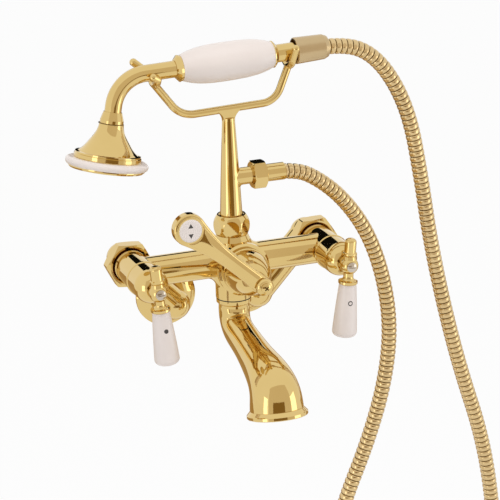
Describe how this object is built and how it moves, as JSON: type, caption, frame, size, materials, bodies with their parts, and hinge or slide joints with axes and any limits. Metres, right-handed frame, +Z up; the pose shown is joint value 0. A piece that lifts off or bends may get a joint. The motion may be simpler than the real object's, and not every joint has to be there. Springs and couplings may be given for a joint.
{
  "type": "wall mounted bath faucet",
  "caption": "Wall mounted bath faucet with swing arms, lever valves, a diverter, a curved spout, and a hand shower with a ribbed hose on a forked cradle.",
  "frame": {"origin": "on the wall plane, midway between the two wall shanks", "axes": "+X towards the cold side, +Y into the wall, +Z up"},
  "size_m": [0.4448, 0.264, 0.7039],
  "materials": {
    "brass": "polished",
    "hose": "satin",
    "porcelain": "gloss",
    "disc": "satin",
    "rubber": "matte"
  },
  "bodies": {
    "fixed": {"body": "brass", "hot_wall_gasket": "rubber", "hot_wall_flange": "brass", "hot_shank": "brass", "hot_swing_arm": "brass", "hot_union_nut": "brass", "hot_union_washer": "rubber", "hot_bonnet": "brass", "hot_fixed_disc": "disc", "cold_wall_gasket": "rubber", "cold_wall_flange": "brass", "cold_shank": "brass", "cold_swing_arm": "brass", "cold_union_nut": "brass", "cold_union_washer": "rubber", "cold_bonnet": "brass", "cold_fixed_disc": "disc", "diverter_cap": "brass", "spout": "brass", "spout_washer": "rubber", "riser_nut": "brass", "riser_washer": "rubber", "riser": "brass", "cradle": "brass", "outlet_nut": "brass", "hose_ferrule": "brass", "hose": "hose"},
    "hot_handle": {"hot_turning_disc": "disc", "hot_stem": "brass", "hot_o_ring": "rubber", "hot_hub": "brass", "hot_lever": "porcelain", "hot_screw": "brass"},
    "cold_handle": {"cold_turning_disc": "disc", "cold_stem": "brass", "cold_o_ring": "rubber", "cold_hub": "brass", "cold_lever": "porcelain", "cold_screw": "brass"},
    "diverter": {"diverter_rotor": "brass", "diverter_o_ring": "rubber", "diverter_lever": "brass", "diverter_button": "porcelain", "diverter_screw": "brass"},
    "handset": {"neck": "brass", "front_collar": "brass", "grip": "porcelain", "rear_collar": "brass", "handset_tail": "brass", "handset_nut": "brass", "head_nut": "brass", "bell": "brass", "head_ring": "porcelain", "spray_plate": "brass"}
  },
  "joints": [
    {"name": "hot_lever_turn", "type": "hinge", "parent": "fixed", "child": "hot_handle", "pos_m": [-0.0945, -0.1452, 0.05507], "axis": [0, 1, 0], "range_deg": [0, 90]},
    {"name": "cold_lever_turn", "type": "hinge", "parent": "fixed", "child": "cold_handle", "pos_m": [0.0945, -0.1452, 0.05507], "axis": [0, -1, 0], "range_deg": [0, 90]},
    {"name": "diverter_turn", "type": "hinge", "parent": "fixed", "child": "diverter", "pos_m": [0, -0.16, 0.05507], "axis": [0, 1, 0], "range_deg": [0, 90]},
    {"name": "handset_lift", "type": "slide", "parent": "fixed", "child": "handset", "axis": [0, 0, 1], "range_m": [0, 0.07], "deforming": ["hose"]}
  ]
}
